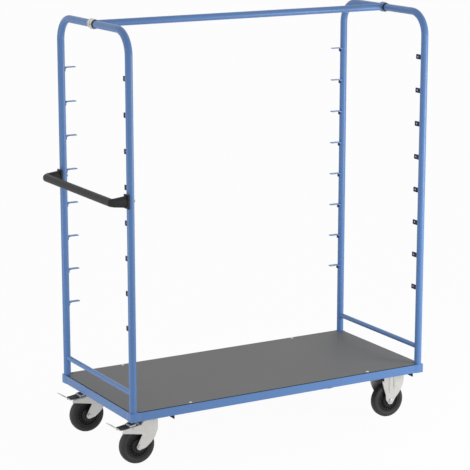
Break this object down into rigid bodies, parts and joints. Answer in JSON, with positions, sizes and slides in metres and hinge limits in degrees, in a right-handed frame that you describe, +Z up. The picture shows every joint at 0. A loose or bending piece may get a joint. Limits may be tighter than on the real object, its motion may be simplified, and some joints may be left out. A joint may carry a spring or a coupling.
{
  "type": "shelf trolley",
  "caption": "Steel platform trolley with a bent tube hoop at each end, shelf brackets up the legs, a top rail, a push handle, and fixed and braked swivel casters.",
  "frame": {"origin": "on the floor under the middle of the whole trolley", "axes": "+Z up; X along the trolley, with the push handle at the low end; Y from front to back, with the drilled lugs at the front"},
  "size_m": [1.5852, 0.692, 1.8785],
  "materials": {
    "blue_paint": "semi-gloss powder coat",
    "deck_grey": "grey textured film",
    "zinc": "bright zinc plate",
    "black_plastic": "fine moulded grain",
    "rim_plastic": "moulded",
    "tyre_rubber": "matt rubber"
  },
  "bodies": {
    "trolley": {"base_frame": "blue_paint", "deck_board": "deck_grey", "deck_screw_1": "zinc", "deck_screw_2": "zinc", "deck_screw_3": "zinc", "deck_screw_4": "zinc", "left_hoop": "blue_paint", "right_hoop": "blue_paint", "left_stretcher": "blue_paint", "right_stretcher": "blue_paint", "top_rail": "blue_paint", "left_rail_clamp": "zinc", "right_rail_clamp": "zinc", "left_clamp_bolt": "zinc", "right_clamp_bolt": "zinc", "push_handle": "black_plastic", "handle_screw_front": "zinc", "handle_screw_back": "zinc", "front_left_leg_screw": "zinc", "back_left_leg_screw": "zinc", "front_right_leg_screw": "zinc", "back_right_leg_screw": "zinc", "front_left_plate": "zinc", "front_left_bearing": "zinc", "front_left_kingpin": "zinc", "back_left_plate": "zinc", "back_left_bearing": "zinc", "back_left_kingpin": "zinc", "front_right_fork": "zinc", "front_right_sleeve": "zinc", "front_right_axle": "zinc", "front_right_nut": "zinc", "back_right_fork": "zinc", "back_right_sleeve": "zinc", "back_right_axle": "zinc", "back_right_nut": "zinc"},
    "front_left_swivel": {"front_left_fork": "zinc", "front_left_sleeve": "zinc", "front_left_axle": "zinc", "front_left_nut": "zinc", "front_left_brake_pin": "zinc"},
    "back_left_swivel": {"back_left_fork": "zinc", "back_left_sleeve": "zinc", "back_left_axle": "zinc", "back_left_nut": "zinc", "back_left_brake_pin": "zinc"},
    "front_left_wheel": {"front_left_tyre": "tyre_rubber", "front_left_rim": "rim_plastic"},
    "back_left_wheel": {"back_left_tyre": "tyre_rubber", "back_left_rim": "rim_plastic"},
    "front_left_brake": {"front_left_brake_lever": "zinc", "front_left_brake_cover": "black_plastic"},
    "back_left_brake": {"back_left_brake_lever": "zinc", "back_left_brake_cover": "black_plastic"},
    "front_right_wheel": {"front_right_tyre": "tyre_rubber", "front_right_rim": "rim_plastic"},
    "back_right_wheel": {"back_right_tyre": "tyre_rubber", "back_right_rim": "rim_plastic"}
  },
  "joints": [
    {"name": "front_left_swivel_turn", "type": "hinge", "parent": "trolley", "child": "front_left_swivel", "pos_m": [-0.58255, -0.247, 0.19], "axis": [0, 0, 1], "continuous": true},
    {"name": "back_left_swivel_turn", "type": "hinge", "parent": "trolley", "child": "back_left_swivel", "pos_m": [-0.58255, 0.247, 0.19], "axis": [0, 0, 1], "continuous": true},
    {"name": "front_left_wheel_spin", "type": "hinge", "parent": "front_left_swivel", "child": "front_left_wheel", "pos_m": [-0.63855, -0.247, 0.08], "axis": [0, 1, 0], "continuous": true},
    {"name": "back_left_wheel_spin", "type": "hinge", "parent": "back_left_swivel", "child": "back_left_wheel", "pos_m": [-0.63855, 0.247, 0.08], "axis": [0, 1, 0], "continuous": true},
    {"name": "front_left_brake_press", "type": "hinge", "parent": "front_left_swivel", "child": "front_left_brake", "pos_m": [-0.66855, -0.247, 0.164], "axis": [0, -1, 0], "range_deg": [0, 8]},
    {"name": "back_left_brake_press", "type": "hinge", "parent": "back_left_swivel", "child": "back_left_brake", "pos_m": [-0.66855, 0.247, 0.164], "axis": [0, -1, 0], "range_deg": [0, 8]},
    {"name": "front_right_wheel_spin", "type": "hinge", "parent": "trolley", "child": "front_right_wheel", "pos_m": [0.65245, -0.247, 0.08], "axis": [0, 1, 0], "continuous": true},
    {"name": "back_right_wheel_spin", "type": "hinge", "parent": "trolley", "child": "back_right_wheel", "pos_m": [0.65245, 0.247, 0.08], "axis": [0, 1, 0], "continuous": true}
  ]
}
